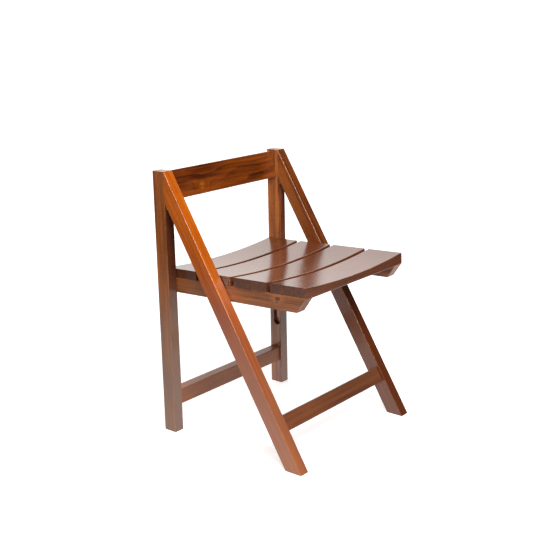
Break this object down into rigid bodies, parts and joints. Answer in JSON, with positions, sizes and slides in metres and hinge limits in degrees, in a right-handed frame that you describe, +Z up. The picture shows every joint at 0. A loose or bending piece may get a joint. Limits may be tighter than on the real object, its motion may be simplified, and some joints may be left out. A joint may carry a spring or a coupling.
{
  "type": "folding chair",
  "caption": "Wooden folding chair: upright rear posts and sloping front legs hinged in an inverted V, dished slat seat on side rails, low backrest board and plain stretchers.",
  "frame": {"origin": "on the floor under the middle of the open chair: the middle of its width and depth, at the bottom of the feet", "axes": "+Z up; -Y is the way the chair faces, +Y towards the rear posts; +X to the sitter's left. The chair is stated open, ready to sit on"},
  "size_m": [0.48, 0.4614, 0.7],
  "materials": {
    "stained_wood": "reddish brown stain under satin lacquer",
    "dowel_wood": "bare turned hardwood",
    "brass": "satin, slightly dulled",
    "steel": "zinc plated"
  },
  "bodies": {
    "rear_frame": {"rear_post_right": "stained_wood", "rear_post_left": "stained_wood", "backrest_board": "stained_wood", "rear_stretcher": "stained_wood", "hinge_post_leaf_right": "brass", "hinge_post_leaf_left": "brass", "hinge_pin_right": "brass", "hinge_pin_left": "brass", "post_screw_right_lower": "brass", "post_screw_right_upper": "brass", "post_screw_left_lower": "brass", "post_screw_left_upper": "brass"},
    "front_frame": {"front_leg_right": "stained_wood", "front_leg_left": "stained_wood", "front_stretcher": "stained_wood", "hinge_leg_leaf_right": "brass", "hinge_leg_leaf_left": "brass", "leg_screw_right_lower": "brass", "leg_screw_right_upper": "brass", "leg_screw_left_lower": "brass", "leg_screw_left_upper": "brass", "pivot_bolt_right": "steel", "pivot_bolt_left": "steel", "pivot_insert_right": "brass", "pivot_insert_left": "brass", "pivot_washer_right": "brass", "pivot_washer_left": "brass"},
    "seat": {"seat_rail_right": "stained_wood", "seat_rail_left": "stained_wood", "seat_slat_front": "stained_wood", "seat_slat_second": "stained_wood", "seat_slat_third": "stained_wood", "seat_slat_rear": "stained_wood", "slat_dowel_front_right": "dowel_wood", "slat_dowel_front_left": "dowel_wood", "slat_dowel_second_right": "dowel_wood", "slat_dowel_second_left": "dowel_wood", "slat_dowel_third_right": "dowel_wood", "slat_dowel_third_left": "dowel_wood", "slat_dowel_rear_right": "dowel_wood", "slat_dowel_rear_left": "dowel_wood"},
    "guide_pins": {"guide_pin_right": "steel", "guide_pin_left": "steel"}
  },
  "joints": [
    {"name": "fold", "type": "hinge", "parent": "rear_frame", "child": "front_frame", "pos_m": [0, 0.18795, 0.60679], "axis": [1, 0, 0], "range_deg": [0, 31.08]},
    {"name": "seat_swing", "type": "hinge", "parent": "front_frame", "child": "seat", "pos_m": [0, 0.0389, 0.40661], "axis": [1, 0, 0], "range_deg": [-103.1, 0]},
    {"name": "guide_slide", "type": "slide", "parent": "rear_frame", "child": "guide_pins", "axis": [0, 0, -1], "range_m": [0, 0.2066]}
  ],
  "couplings": [
    {"joint": "seat_swing", "follows": "fold", "ratio": -3.3157},
    {"joint": "guide_slide", "follows": "fold", "m_per_rad": 0.38065}
  ]
}
